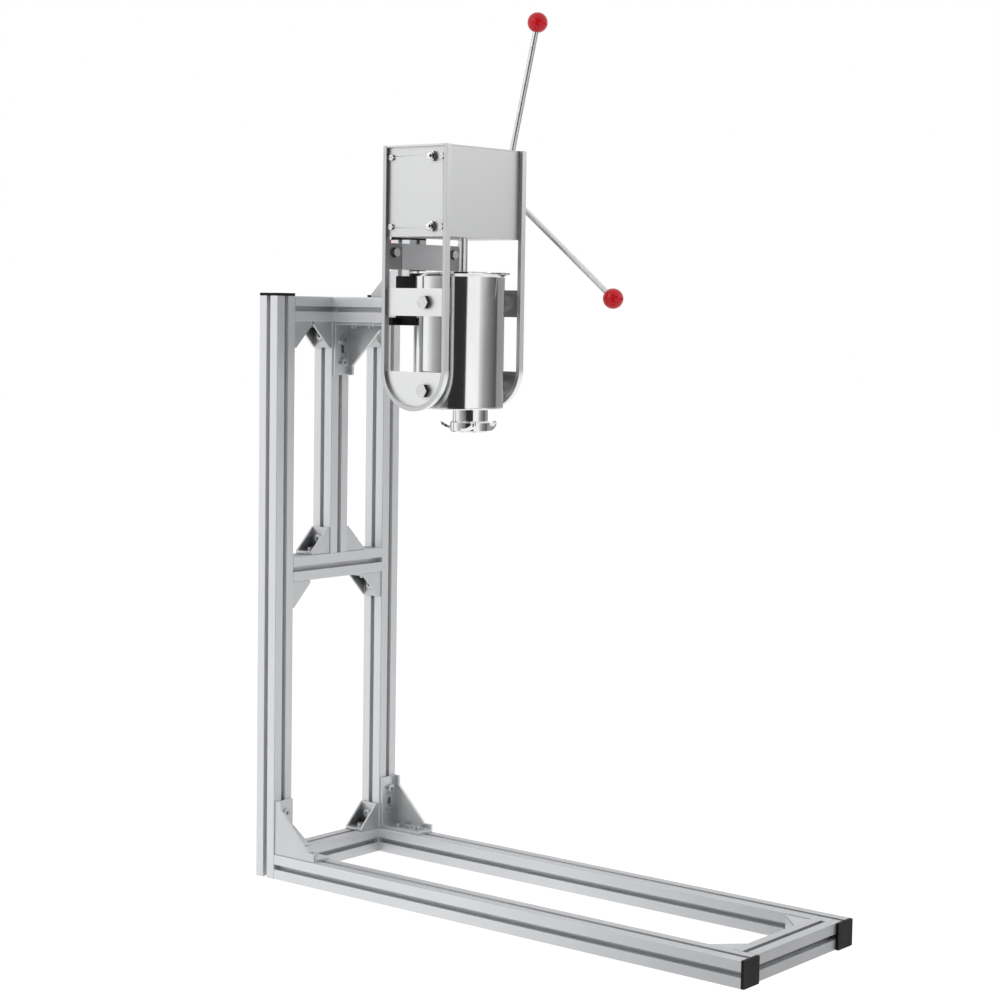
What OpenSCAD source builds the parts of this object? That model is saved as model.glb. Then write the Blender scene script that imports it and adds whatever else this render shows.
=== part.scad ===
// Churro press on a T-slot floor stand: a hand wheel drives a rack and piston down a steel barrel.
// The origin is on the floor, under the middle of the cross rail that joins the two posts.
// X runs from the posts to the free end of the base, Y across the stand, Z up.

/* [Stand] */
// Side of the square aluminium profile
profile_w = 40; // [36:1:45]
// Height of the two tall posts without their caps
post_h = 930; // [800:5:1200]
// Width over the two posts
stand_w = 292; // [260:2:400]
// Length of the base from the back of the posts to the rail ends
base_l = 923; // [700:5:1200]
// Height of the middle cross rail's centre
mid_rail_z = 495; // [300:5:700]
// Length of the arm that carries the mounting post
arm_l = 123; // [110:1:200]
// Length of the short mounting post
mount_post_l = 130; // [120:1:200]
// Thickness of the plastic end caps
cap_t = 4.5; // [2:0.5:8]

/* [Profile grooves] */
// Opening of the T-slot
slot_w = 8.2; // [7:0.1:9]
// Thickness of the lips beside the opening
lip_t = 4.5; // [3:0.1:5]
// Width of the pocket behind the lips
pocket_w = 18; // [16:0.5:20]
// Height of the pocket's straight wall
pocket_wall_h = 2.5; // [1:0.1:4]
// Width of the pocket's floor
pocket_floor_w = 9; // [8:0.5:12]
// Depth of the groove from the profile's face
slot_d = 12.3; // [11.5:0.1:13]
// Bore along the middle of the profile
core_d = 6.8; // [4:0.1:8]
// Radius of the profile's outer edges
edge_r = 1.5; // [0.5:0.1:3]

/* [Brackets] */
// Leg length of a small corner bracket
bracket_leg = 42; // [36:1:50]
// Width of brackets and gussets
bracket_w = 36; // [32:1:40]
// Thickness of a bracket's two flanges
bracket_t = 5; // [3:0.5:6]
// Thickness of a bracket's side walls
bracket_web_t = 3.5; // [2:0.5:5]
// Distance of a small bracket's screw from its corner
bracket_hole_a = 23; // [20:0.5:26]
// Leg length of a large gusset bracket
gusset_leg = 86; // [78:1:110]
// Distance of a gusset's first screw from its corner
gusset_hole_a = 29; // [27:0.5:31]
// Distance of a gusset's second screw from its corner
gusset_hole_b = 65.5; // [61:0.5:70]
// Distance of a gusset's open slot from its corner
gusset_slot_at = 44; // [43:0.5:46]
// Height of the rim at the ends of a gusset's legs
gusset_rim = 13; // [10:0.5:16]
// Length of the rim at the ends of a gusset's legs
gusset_rim_l = 15; // [10:0.5:20]
// Length of the screw slots in brackets and gussets
hole_slot_l = 13; // [10:0.5:16]

/* [Frame screws] */
// Thread diameter of the frame screws
screw_d = 8; // [6:0.5:8]
// Head diameter of the frame screws
screw_head_d = 14; // [12:0.5:16]
// Head height of the frame screws
screw_head_h = 5; // [3:0.5:6]
// Depth that a frame screw reaches below the profile's face
screw_reach = 11; // [9.5:0.1:11.4]
// Length of a T-nut along its groove
t_nut_l = 16; // [12:0.5:18]
// Width of a T-nut behind the lips
t_nut_w = 15; // [13:0.5:15.5]
// Height of a T-nut behind the lips
t_nut_h = 4.5; // [3:0.1:5]

/* [Press fixing] */
// Thickness of the flat cross bar behind the straps
bar_t = 10; // [8:0.5:14]
// Height of the cross bar
bar_h = 40; // [34:1:44]
// Distance of the cross bar's ends inside the straps' outer edges
bar_in = 14; // [12:0.5:20]
// Distance of the cross bar below the mounting post's top
bar_drop = 7; // [4:1:20]
// Width of the grey plate in front of the cross bar
clamp_plate_w = 103; // [80:1:120]
// Thickness of the grey plate
clamp_plate_t = 3; // [2:0.5:5]
// Width of the black saddle behind the barrel
saddle_w = 104; // [80:1:112]
// Distance that the saddle reaches below the arm
saddle_drop = 3; // [1:0.5:6]
// Width of the saddle's foot
saddle_foot_w = 140; // [114:1:148]
// Height of the saddle's foot
saddle_foot_h = 12; // [8:1:20]
// Thickness of the saddle's foot
saddle_foot_t = 10; // [6:0.5:12]

/* [Press frame] */
// Outer length of the straps and the head, front to back
head_l = 128; // [120:1:150]
// Outer width over the two straps
head_w = 192; // [184:1:220]
// Height of the head box
head_h = 138; // [132:1:180]
// Height of the head's underside above the cross bar
head_rise = 9; // [6:0.5:20]
// Width of the strap's flat bar
strap_w = 10; // [8:0.5:14]
// Thickness of the strap's flat bar
strap_t = 7; // [5:0.5:8]
// Reach of the tab that bolts a strap to the cross bar, from the strap's outer edge
strap_tab_l = 40; // [36:0.5:42]
// Thickness of that tab
strap_tab_t = 3; // [2:0.5:5]
// Distance of a strap's bolt from the strap's outer edge
strap_bolt_in = 26; // [24:0.5:29]
// Height of a strap's bolt above the cross bar's middle
strap_bolt_rise = 6; // [0:0.5:8]
// Distance that the straps reach below the barrel
strap_drop = 3; // [1:0.5:10]
// Depth of the side plates inside the straps' edges
cover_recess = 5.5; // [5:0.5:7]
// Thickness of the side plates
cover_t = 4; // [2.5:0.5:5]
// Thickness of the head's bent sheets
sheet_t = 2; // [1.5:0.5:3]
// Depth of the bent sheets' flanges
sheet_flange = 14; // [12:0.5:18]
// Thickness of the top and bottom plates
plate_t = 3; // [2:0.5:4]
// Height of the middle side plates
mid_plate_h = 42; // [34:1:60]
// Height of the middle side plates' underside above the barrel's bottom
mid_plate_rise = 142; // [110:1:155]
// Height of the lower side plates' top below the strap's bend centre
low_plate_drop = 4; // [2:0.5:10]

/* [Barrel] */
// Outer radius of the barrel
barrel_r = 70; // [66:0.5:72]
// Wall of the barrel
barrel_wall = 1.5; // [1:0.1:3]
// Thickness of the barrel's floor
barrel_floor = 3; // [2:0.5:5]
// Height of the barrel with its rim
barrel_h = 210; // [190:1:230]
// Outer radius of the rim
rim_r = 77.5; // [75:0.5:80]
// Thickness of the rim's lip
rim_t = 3; // [2:0.5:5]
// Height of the flare under the rim
rim_flare_h = 4; // [2:0.5:8]
// Distance of the barrel's axis in front of the straps' middle
barrel_fwd = 11.5; // [10:0.5:14]
// Gap between the head and the rim, where the dough goes in
feed_gap = 52; // [44:1:80]
// Radius of the welded lugs that take the barrel's bolts
lug_r = 13; // [11:0.5:16]
// Distance of the barrel's bolts in front of its axis
lug_fwd = 8; // [0:0.5:12]
// Height of the lower bolts above the barrel's bottom
low_bolt_rise = 29; // [26:0.5:34]

/* [Outlet] */
// Distance of the outlet in front of the barrel's axis
outlet_fwd = 25; // [18:0.5:28]
// Outer radius of the threaded neck
neck_r = 27.4; // [24:0.1:29]
// Wall of the neck
neck_wall = 4.4; // [3:0.1:6]
// Length of the neck below the barrel
neck_h = 30; // [24:0.5:36]
// Outer radius of the wing nut's ring
nut_r = 31.3; // [31:0.1:34]
// Height of the wing nut's ring
nut_h = 17.2; // [15:0.1:22]
// Thickness of the nut's inward lip
nut_lip_t = 2; // [1.5:0.1:3]
// Radius of the nut's open end
nut_open_r = 20; // [16:0.5:22]
// Thickness of the shaping die
die_t = 2.5; // [1.5:0.1:4]
// Thickness of the sealing ring
gasket_t = 1; // [0.8:0.1:1.5]
// Outer radius of the die's star hole
star_r = 8; // [5:0.5:12]
// Chamfer round the nut's two ends
nut_chamfer = 2.5; // [1:0.1:3]
// Length of an ear beyond the middle of the nut's wall
ear_l = 28; // [20:0.5:32]
// Width of an ear
ear_w = 7; // [5:0.5:9]
// Thickness of an ear
ear_t = 4; // [3:0.5:5]
// Radius of the upward curve of an ear
ear_curve_r = 45; // [36:1:60]
// Height of an ear's root above the nut's underside
ear_root_h = 4; // [3:0.1:6]
// Turn of the first ear's root at rest
ear_angle = 49; // [0:1:119]
// Angle by which the ears sweep aside from the nut's radius
ear_sweep = 60; // [30:1:65]
// Pitch of the neck's thread
thread_pitch = 3; // [1.5:0.5:4]

/* [Rack and piston] */
// Diameter of the rack rod
rod_d = 15; // [14:0.5:18]
// Depth of the rack's pitch line under the rod's back
pitch_depth = 2.25; // [2.1:0.05:2.6]
// Distance of the rod's top below the head's top
rod_top_drop = 10; // [6:0.5:12]
// Height of the piston
piston_h = 18; // [16:0.5:24]
// Clearance round the piston's body
piston_gap = 0.4; // [0.2:0.05:0.8]
// Clearance of the seal in the barrel
seal_gap = 0.1; // [0.05:0.01:0.2]
// Height of the piston's seal
seal_h = 6; // [4:0.5:8]
// Depth of the seal's groove
seal_d = 4; // [3:0.5:6]
// Diameter of the stud under the rod
stud_d = 10; // [8:0.5:10]
// Height of the nut under the piston
piston_nut_h = 6; // [5:0.5:8]
// Travel of the rack and piston
stroke = 240; // [200:1:240]

/* [Gears] */
// Tooth module of the rack and pinion
tooth_module = 2; // [1.8:0.1:2]
// Teeth of the pinion
pinion_teeth = 16; // [14:1:18]
// Width of the pinion
pinion_w = 18; // [14:1:24]
// Play between the teeth at the pitch line
backlash = 0.3; // [0.2:0.05:0.5]

/* [Wheel] */
// Diameter of the wheel shaft
shaft_d = 16; // [14:0.5:18]
// Height of the shaft above the head's underside
shaft_rise = 81.6; // [70:0.1:90]
// Distance of the arms' plane outside the strap
wheel_off = 31.8; // [26:0.1:50]
// Radius of the hub
hub_r = 20; // [17:0.5:28]
// Length of the hub behind the arms' plane
hub_back = 22; // [12:0.5:22]
// Length of the hub in front of the arms' plane
hub_front = 10; // [8:0.5:16]
// Distance of a ball's centre from the shaft, seen along the shaft
arm_reach = 265; // [200:1:320]
// Distance that a ball stands further out than the arms' root
arm_lean = 18.8; // [0:0.1:40]
// Diameter of the arms
arm_d = 9; // [8:0.5:12]
// Diameter of the balls
ball_d = 32; // [26:0.5:45]
// Angle of the first arm above the front, seen from the near side
first_arm_angle = 80; // [0:1:119]

/* [Head fittings] */
// Radius of a guide roller at the bottom of its groove
roller_r = 6.5; // [6:0.1:8]
// Radius of a guide roller's flanges
roller_flange_r = 10; // [9:0.1:11]
// Width of a guide roller
roller_w = 22; // [16:0.5:30]
// Distance between a roller and the rod
roller_gap = 0.3; // [0.1:0.05:0.6]
// Distance of the roller axles and cover screws from the cover's edges
axle_inset = 15; // [13:0.5:18]
// Diameter of the roller axles
axle_d = 8; // [6:0.5:9]
// Diameter of the spacer tubes on the axles
spacer_d = 14; // [12:0.5:16]
// Width over the flats of a dome nut
dome_flats = 15; // [12:0.5:16]
// Diameter of a cover screw's head
cover_screw_head_d = 9; // [7:0.5:10]
// Diameter of a cover screw's thread
cover_screw_d = 5; // [4:0.5:6]
// Distance of the cover screws from the straps' inner faces
cover_screw_inset = 7; // [6:0.5:9]
// Radius of a shaft bearing's flange
bearing_flange_r = 21; // [18:0.5:26]
// Radius of a shaft bearing's boss
bearing_boss_r = 13; // [11:0.5:16]
// Length of a shaft bearing inside the cover
bearing_l = 18; // [12:0.5:24]
// Thickness of a shaft bearing's flange
bearing_flange_t = 5; // [3:0.5:6]

/* [Press bolts] */
// Diameter of the barrel's bolts
barrel_bolt_d = 12; // [10:0.5:14]
// Width over the flats of the barrel's bolts
barrel_bolt_flats = 19; // [16:0.5:22]
// Diameter of the bolts through the straps and the cross bar
strap_bolt_d = 8; // [6:0.5:10]
// Width over the flats of the strap bolts
strap_bolt_flats = 13; // [11:0.5:15]
// Height of a hex head as a share of its thread diameter
hex_head_share = 0.65; // [0.5:0.05:0.8]

/* [Hidden] */
$fn = 48;

// Overrun of cuts past the faces they open
cut = 1;
// Radial clearance of a shaft, pin or screw in its hole
fit = 0.05;
// Width of a screw hole beyond its screw
loose = 0.5;
// Depth of hex sockets and slots in screw heads
socket_d = 2.5;
// Width over the corners of a frame screw's socket
socket_w = 5.8;
// Gap of parts that turn or rest close to each other
rest_gap = 0.3;
// Facets of the barrel and the piston, and steps of a tooth's flank
round_fn = 96;
flank_steps = 6;
// Tooth gaps of the rack beyond the last one that the stroke needs
spare_gaps = 1;
// Points of the die's star
star_points = 8;
// Tooth heights as shares of the module
rack_tip_share = 0.8;
rack_root_share = 1.125;
pinion_tip_share = 0.9;
pinion_root_share = 1.05;
// Key width and height as a share of the shaft
key_share = 0.3;
// Inner radius of the star as a share of its outer radius
star_share = 0.6;
// Ears of the wing nut
ears = 3;
// Width of the piston's nut as a share of the stud, and of its pocket as a share of the nut
nut_flats_share = 1.6;
nut_pocket_share = 1.3;
// Depth of the bolt holes in the lugs as a share of the bolt
bolt_hole_share = 0.75;
// Depth that the arms stop short of the shaft, as a share of the hub's wall
arm_root_share = 0.25;
// Distance of the cross bar's screws from its middle as a share of its height
bar_screw_share = 0.25;

// Places on the stand
half_p = profile_w / 2;
post_y = stand_w / 2 - half_p;
inner_y = stand_w / 2 - profile_w;
rail_l = base_l - profile_w;
rail_end_x = half_p + rail_l;
top_rail_z = post_h - half_p;
mid_post_z0 = mid_rail_z + half_p;
mount_post_x = half_p + arm_l + half_p;
mount_post_z0 = post_h - profile_w;
mount_post_top = mount_post_z0 + mount_post_l;
bracket_reach = min(bracket_leg, (inner_y - half_p) / 2 - loose);

// Screws and nuts in the grooves
thread_d = min(screw_d, slot_w);
pocket_taper = (pocket_w - pocket_floor_w) / (slot_d - lip_t - pocket_wall_h);
pocket_at_nut = pocket_w - max(0, t_nut_h - pocket_wall_h) * pocket_taper;
nut_w = min(t_nut_w, pocket_at_nut - loose);
nut_neck_w = slot_w - 2 * loose;

// Places on the press
bar_x0 = mount_post_x + half_p;
bar_z1 = mount_post_top - bar_drop;
bar_z = bar_z1 - bar_h / 2;
strap_x0 = bar_x0 + bar_t;
strap_x1 = strap_x0 + head_l;
strap_x = strap_x0 + head_l / 2;
strap_in0 = strap_x0 + strap_t;
strap_in1 = strap_x1 - strap_t;
strap_bend_r = head_l / 2;
half_w = head_w / 2;
cover_y1 = half_w - cover_recess;
cover_y0 = cover_y1 - cover_t;
head_z0 = bar_z1 + head_rise;
head_z1 = head_z0 + head_h;
cover_z1 = head_z1 - plate_t;
rim_z = head_z0 - feed_gap;
barrel_z0 = rim_z - barrel_h;
strap_z0 = barrel_z0 - strap_drop;
bend_z = strap_z0 + strap_bend_r;
axis_x = strap_x + barrel_fwd;
lug_x = axis_x + lug_fwd;
mid_plate_z0 = barrel_z0 + mid_plate_rise;
mid_bolt_z = mid_plate_z0 + mid_plate_h / 2;
low_bolt_z = barrel_z0 + low_bolt_rise;
strap_bolt_y = half_w - strap_bolt_in;
strap_bolt_z = bar_z + strap_bolt_rise;
strap_tab_x1 = strap_x0 + strap_tab_t;
bar_screw_spread = bar_h * bar_screw_share;
bar_seat = bar_t - screw_head_h - loose;
saddle_z0 = mount_post_z0 - saddle_drop;
saddle_z1 = rim_z - rim_t - rim_flare_h;
saddle_hole_r = barrel_r + rest_gap;
saddle_seat = axis_x - saddle_hole_r - bar_x0 - screw_head_h - socket_d;
saddle_screw_zs = [mount_post_z0 + half_p, saddle_z1 - half_p];

// Outlet
outlet_x = axis_x + outlet_fwd;
neck_z0 = barrel_z0 - neck_h;
die_z0 = neck_z0 - gasket_t - die_t;
nut_z0 = die_z0 - nut_lip_t;

// Rack and pinion
pitch_r = tooth_module * pinion_teeth / 2;
tooth_pitch = PI * tooth_module;
pressure_angle = 20;
rod_r = rod_d / 2;
rod_x = axis_x + rod_r - pitch_depth;
rod_top = head_z1 - rod_top_drop;
shaft_x = axis_x - pitch_r;
shaft_z = head_z0 + shaft_rise;
rack_addendum = tooth_module * rack_tip_share;
rack_dedendum = tooth_module * rack_root_share;
pinion_addendum = tooth_module * pinion_tip_share;
pinion_dedendum = tooth_module * pinion_root_share;
key_w = shaft_d * key_share;
key_h = shaft_d * key_share;

// Piston
bore_r = barrel_r - barrel_wall;
floor_z = barrel_z0 + barrel_floor;
piston_z0 = floor_z + rest_gap;
piston_top = piston_z0 + piston_h;
piston_r = bore_r - piston_gap;
seal_z0 = piston_z0 + (piston_h - seal_h) / 2;
piston_nut_flats = stud_d * nut_flats_share;

// Wheel and guide rollers
wheel_y = half_w + wheel_off;
arm_tilt = atan(arm_lean / arm_reach);
arm_full = sqrt(pow(arm_reach, 2) + pow(arm_lean, 2));
arm_root = shaft_d / 2 + (hub_r - shaft_d / 2) * arm_root_share;
arm_pin_d = arm_d - loose * 2;
ball_flat = sqrt(pow(ball_d / 2, 2) - pow(arm_d / 2, 2));
collar_l = 2 * bearing_flange_t;
roller_x = rod_x + rod_r + roller_gap + roller_r;
roller_low_z = head_z0 + axle_inset;
roller_high_z = cover_z1 - axle_inset;
groove_r = rod_r + roller_gap;
nut_base_h = axle_d * hex_head_share;
dome_r = dome_flats / 2 - loose;

// Colours of the finishes
alu = [0.80, 0.81, 0.82];
cast = [0.66, 0.67, 0.68];
steel = [0.78, 0.79, 0.80];
black = [0.08, 0.08, 0.09];
zinc = [0.55, 0.56, 0.58];
bronze = [0.72, 0.55, 0.32];
white = [0.93, 0.93, 0.91];
red = [0.75, 0.03, 0.05];

// Corner bracket places: corner point, then turn of the bracket
bracket_places = [
    [[0, -inner_y, mount_post_z0], [180, 0, 90]],
    [[0, -half_p, mount_post_z0], [180, 0, -90]],
    [[0, half_p, mount_post_z0], [180, 0, 90]],
    [[0, inner_y, mount_post_z0], [180, 0, -90]],
    [[mount_post_x - half_p, 0, post_h], [0, 0, 180]],
    [[0, -half_p, mid_post_z0], [0, 0, -90]],
    [[0, half_p, mid_post_z0], [0, 0, 90]],
    [[0, -inner_y, mid_rail_z - half_p], [180, 0, 90]],
    [[0, inner_y, mid_rail_z - half_p], [180, 0, -90]],
    [[0, -inner_y, profile_w], [0, 0, 90]],
    [[0, inner_y, profile_w], [0, 0, -90]],
    [[rail_end_x - profile_w, -inner_y, half_p], [90, 0, 180]],
    [[rail_end_x - profile_w, inner_y, half_p], [-90, 0, 180]]
];
// Gusset places: corner point, turn of the gusset, side of its wall
gusset_places = [
    [[half_p, -post_y, profile_w], [0, 0, 0], -1],
    [[half_p, post_y, profile_w], [0, 0, 0], 1],
    [[half_p, 0, mount_post_z0], [180, 0, 0], -1]
];

// General shapes

module rounded_square(w, r) {
    square([w - 2 * r, w], center = true);
    square([w, w - 2 * r], center = true);
    for (sx = [-1, 1], sy = [-1, 1])
        translate([sx * (w / 2 - r), sy * (w / 2 - r)]) circle(r = r);
}

module slot_2d(l, d) {
    square([l - d, d], center = true);
    for (s = [-1, 1])
        translate([s * (l - d) / 2, 0]) circle(d = d);
}

module block(x0, x1, y0, y1, z0, z1) {
    translate([x0, y0, z0]) cube([x1 - x0, y1 - y0, z1 - z0]);
}

// A round bar along Y from y0 to y1
module bar_y(x, z, r, y0, y1) {
    translate([x, y1, z]) rotate([90, 0, 0]) cylinder(r = r, h = y1 - y0);
}

// A round bar along X from x0 to x1
module bar_x(y, z, r, x0, x1) {
    translate([x0, y, z]) rotate([0, 90, 0]) cylinder(r = r, h = x1 - x0);
}

// A hexagon prism along Z
module hex_prism(flats, h) {
    cylinder(d = flats / cos(30), h = h, $fn = 6);
}

module at_place(place) {
    translate(place[0]) rotate(place[1]) children();
}

// Aluminium profile

module groove_2d() {
    polygon([
        [-slot_w / 2, half_p + cut], [-slot_w / 2, half_p - lip_t],
        [-pocket_w / 2, half_p - lip_t], [-pocket_w / 2, half_p - lip_t - pocket_wall_h],
        [-pocket_floor_w / 2, half_p - slot_d], [pocket_floor_w / 2, half_p - slot_d],
        [pocket_w / 2, half_p - lip_t - pocket_wall_h], [pocket_w / 2, half_p - lip_t],
        [slot_w / 2, half_p - lip_t], [slot_w / 2, half_p + cut]
    ]);
}

module profile(l) {
    linear_extrude(l) difference() {
        rounded_square(profile_w, edge_r);
        for (k = [0:3]) rotate(90 * k) groove_2d();
        circle(d = core_d);
    }
}

module profile_x(x0, y, z, l) {
    translate([x0, y, z]) rotate([0, 90, 0]) profile(l);
}

module profile_y(x, y0, z, l) {
    translate([x, y0, z]) rotate([-90, 0, 0]) profile(l);
}

module cap() {
    linear_extrude(cap_t) rounded_square(profile_w, edge_r);
}

module post_near() { color(alu) translate([0, -post_y, 0]) profile(post_h); }
module post_far() { color(alu) translate([0, post_y, 0]) profile(post_h); }
module rail_near() { color(alu) profile_x(half_p, -post_y, half_p, rail_l); }
module rail_far() { color(alu) profile_x(half_p, post_y, half_p, rail_l); }
module base_cross_rail() { color(alu) profile_y(0, -inner_y, half_p, 2 * inner_y); }
module end_cross_rail() { color(alu) profile_y(rail_end_x - half_p, -inner_y, half_p, 2 * inner_y); }
module mid_cross_rail() { color(alu) profile_y(0, -inner_y, mid_rail_z, 2 * inner_y); }
module top_cross_rail() { color(alu) profile_y(0, -inner_y, top_rail_z, 2 * inner_y); }
module mid_post() { color(alu) translate([0, 0, mid_post_z0]) profile(mount_post_z0 - mid_post_z0); }
module arm_profile() { color(alu) profile_x(half_p, 0, top_rail_z, arm_l); }
module mount_post() { color(alu) translate([mount_post_x, 0, mount_post_z0]) profile(mount_post_l); }

module profile_end_caps() {
    color(black) {
        for (s = [-1, 1]) {
            translate([0, s * post_y, post_h]) cap();
            translate([rail_end_x, s * post_y, half_p]) rotate([0, 90, 0]) cap();
        }
        translate([mount_post_x, 0, mount_post_top]) cap();
    }
}

// Brackets, with one leg along +X on a face and one along +Z

module leg_hole(at) {
    translate([at, 0, -cut]) linear_extrude(bracket_t + 2 * cut) slot_2d(hole_slot_l, screw_d + loose);
}

module both_legs() {
    children();
    rotate([0, -90, 0]) mirror([0, 0, 1]) children();
}

module bracket_wall(leg, t, y0) {
    translate([0, y0 + t, 0]) rotate([90, 0, 0]) linear_extrude(t)
        polygon([[0, 0], [leg, 0], [leg, bracket_t], [bracket_t, leg], [0, leg]]);
}

module bracket_flanges(leg) {
    block(0, leg, -bracket_w / 2, bracket_w / 2, 0, bracket_t);
    block(0, bracket_t, -bracket_w / 2, bracket_w / 2, 0, leg);
}

module corner_bracket() {
    difference() {
        union() {
            bracket_flanges(bracket_reach);
            bracket_wall(bracket_reach, bracket_web_t, -bracket_w / 2);
            bracket_wall(bracket_reach, bracket_web_t, bracket_w / 2 - bracket_web_t);
        }
        both_legs() leg_hole(bracket_hole_a);
    }
}

module gusset_wall(y0) {
    rim_from = gusset_leg - gusset_rim_l;
    translate([0, y0 + bracket_t, 0]) rotate([90, 0, 0]) linear_extrude(bracket_t)
        polygon([[0, 0], [gusset_leg, 0], [gusset_leg, gusset_rim], [rim_from, gusset_rim],
                 [gusset_rim, rim_from], [gusset_rim, gusset_leg], [0, gusset_leg]]);
}

module gusset(side) {
    difference() {
        union() {
            bracket_flanges(gusset_leg);
            gusset_wall(side > 0 ? bracket_w / 2 - bracket_t : -bracket_w / 2);
        }
        both_legs() for (at = [gusset_hole_a, gusset_slot_at, gusset_hole_b]) leg_hole(at);
    }
}

module corner_brackets() { color(cast) for (p = bracket_places) at_place(p) corner_bracket(); }
module gusset_near() { color(cast) at_place(gusset_places[0]) gusset(gusset_places[0][2]); }
module gusset_far() { color(cast) at_place(gusset_places[1]) gusset(gusset_places[1][2]); }
module gusset_arm() { color(cast) at_place(gusset_places[2]) gusset(gusset_places[2][2]); }

// Frame screws and T-nuts. Each stands on a profile's face at z = 0, with the groove along X.

module frame_screw(seat) {
    difference() {
        union() {
            translate([0, 0, seat]) cylinder(d = screw_head_d, h = screw_head_h);
            translate([0, 0, -screw_reach]) cylinder(r = thread_d / 2 - fit, h = screw_reach + seat);
        }
        translate([0, 0, seat + screw_head_h - socket_d])
            cylinder(d = socket_w, h = socket_d + cut, $fn = 6);
    }
}

module t_nut() {
    difference() {
        union() {
            block(-t_nut_l / 2, t_nut_l / 2, -nut_w / 2, nut_w / 2, -lip_t - t_nut_h, -lip_t);
            block(-t_nut_l / 2, t_nut_l / 2, -nut_neck_w / 2, nut_neck_w / 2, -lip_t, -lip_t / 2);
        }
        translate([0, 0, -slot_d]) cylinder(d = thread_d, h = slot_d);
    }
}

// Repeats its children at every frame screw's seat on a profile face
module at_frame_screws() {
    for (p = bracket_places)
        at_place(p) both_legs() translate([bracket_hole_a, 0, 0]) children();
    for (p = gusset_places) at_place(p) both_legs()
        for (a = [gusset_hole_a, gusset_hole_b]) translate([a, 0, 0]) children();
}

// Places its children on the mounting post's front face, at a height
module at_post_screw(z) {
    translate([bar_x0, 0, z]) rotate([0, 90, 0]) children();
}

module frame_screws() { color(zinc) at_frame_screws() frame_screw(bracket_t); }

module mount_screws() {
    color(zinc) {
        for (s = [-1, 1]) at_post_screw(bar_z + s * bar_screw_spread) frame_screw(bar_seat);
        for (z = saddle_screw_zs) at_post_screw(z) frame_screw(saddle_seat);
    }
}

module t_slot_nuts() {
    color(zinc) {
        at_frame_screws() t_nut();
        for (s = [-1, 1]) at_post_screw(bar_z + s * bar_screw_spread) t_nut();
        for (z = saddle_screw_zs) at_post_screw(z) t_nut();
    }
}

// Fixing of the press to the mounting post

module counterbore(seat) {
    translate([0, 0, -cut]) cylinder(d = screw_d + loose, h = seat + 2 * cut);
    translate([0, 0, seat]) cylinder(d = screw_head_d + loose, h = barrel_r);
}

module cross_bar() {
    color(steel) difference() {
        block(bar_x0, strap_x0, bar_in - half_w, half_w - bar_in, bar_z1 - bar_h, bar_z1);
        for (s = [-1, 1]) {
            at_post_screw(bar_z + s * bar_screw_spread) counterbore(bar_seat);
            bar_x(s * strap_bolt_y, strap_bolt_z, (strap_bolt_d + loose) / 2,
                  bar_x0 - cut, strap_x0 + cut);
        }
    }
}

module clamp_plate() {
    color(zinc) block(strap_x0, strap_x0 + clamp_plate_t, -clamp_plate_w / 2, clamp_plate_w / 2,
                      bar_z1 - bar_h, bar_z1);
}

module strap_bolts() {
    bolt_head_h = strap_bolt_d * hex_head_share;
    color(zinc) for (s = [-1, 1]) translate([0, s * strap_bolt_y, strap_bolt_z]) rotate([0, 90, 0]) {
        translate([0, 0, strap_tab_x1]) hex_prism(strap_bolt_flats, bolt_head_h);
        translate([0, 0, bar_x0 - bolt_head_h - thread_pitch])
            cylinder(r = strap_bolt_d / 2 - fit, h = strap_tab_x1 - bar_x0 + bolt_head_h + thread_pitch);
        translate([0, 0, bar_x0 - bolt_head_h]) difference() {
            hex_prism(strap_bolt_flats, bolt_head_h);
            translate([0, 0, -cut]) cylinder(r = strap_bolt_d / 2, h = bolt_head_h + 2 * cut);
        }
    }
}

module barrel_saddle() {
    reach = axis_x - sqrt(pow(saddle_hole_r, 2) - pow(saddle_w / 2, 2));
    color(black) difference() {
        union() {
            block(bar_x0, reach, -saddle_w / 2, saddle_w / 2, saddle_z0, saddle_z1);
            block(bar_x0, bar_x0 + saddle_foot_t, -saddle_foot_w / 2, saddle_foot_w / 2,
                  saddle_z0, saddle_z0 + saddle_foot_h);
        }
        translate([axis_x, 0, saddle_z0 - cut])
            cylinder(r = saddle_hole_r, h = saddle_z1 - saddle_z0 + 2 * cut);
        for (z = saddle_screw_zs) at_post_screw(z) counterbore(saddle_seat);
    }
}

// Straps and side plates. The far side mirrors the near side.

module strap_2d(r) {
    translate([strap_x, bend_z]) circle(r = r);
    translate([strap_x - r, bend_z]) square([2 * r, head_z1 - bend_z]);
}

// Stands a drawing of the XZ plane up between y0 and y1
module stand_xz(y0, y1) {
    translate([0, y1, 0]) rotate([90, 0, 0]) linear_extrude(y1 - y0) children();
}

module strap() {
    difference() {
        union() {
            difference() {
                stand_xz(-half_w, -half_w + strap_w) strap_2d(strap_bend_r);
                stand_xz(-half_w - cut, -half_w + strap_w + cut) {
                    strap_2d(strap_bend_r - strap_t);
                    translate([strap_in0, head_z1 - cut]) square([strap_in1 - strap_in0, 2 * cut]);
                }
            }
            block(strap_x0, strap_tab_x1, -half_w, -half_w + strap_tab_l, bar_z1 - bar_h, bar_z1);
        }
        bar_x(-strap_bolt_y, strap_bolt_z, (strap_bolt_d + loose) / 2,
              strap_x0 - cut, strap_tab_x1 + cut);
    }
}

module cover_holes() {
    for (z = [roller_low_z, roller_high_z]) {
        bar_y(roller_x, z, axle_d / 2 + fit, -cover_y1 - cut, -cover_y0 + cut);
        for (x = [strap_in0 + cover_screw_inset, strap_in1 - cover_screw_inset])
            bar_y(x, z, cover_screw_d / 2 + fit, -cover_y1 - cut, -cover_y0 + sheet_t + cut);
    }
}

module cover() {
    difference() {
        block(strap_in0, strap_in1, -cover_y1, -cover_y0, head_z0, cover_z1);
        cover_holes();
    }
}

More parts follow.
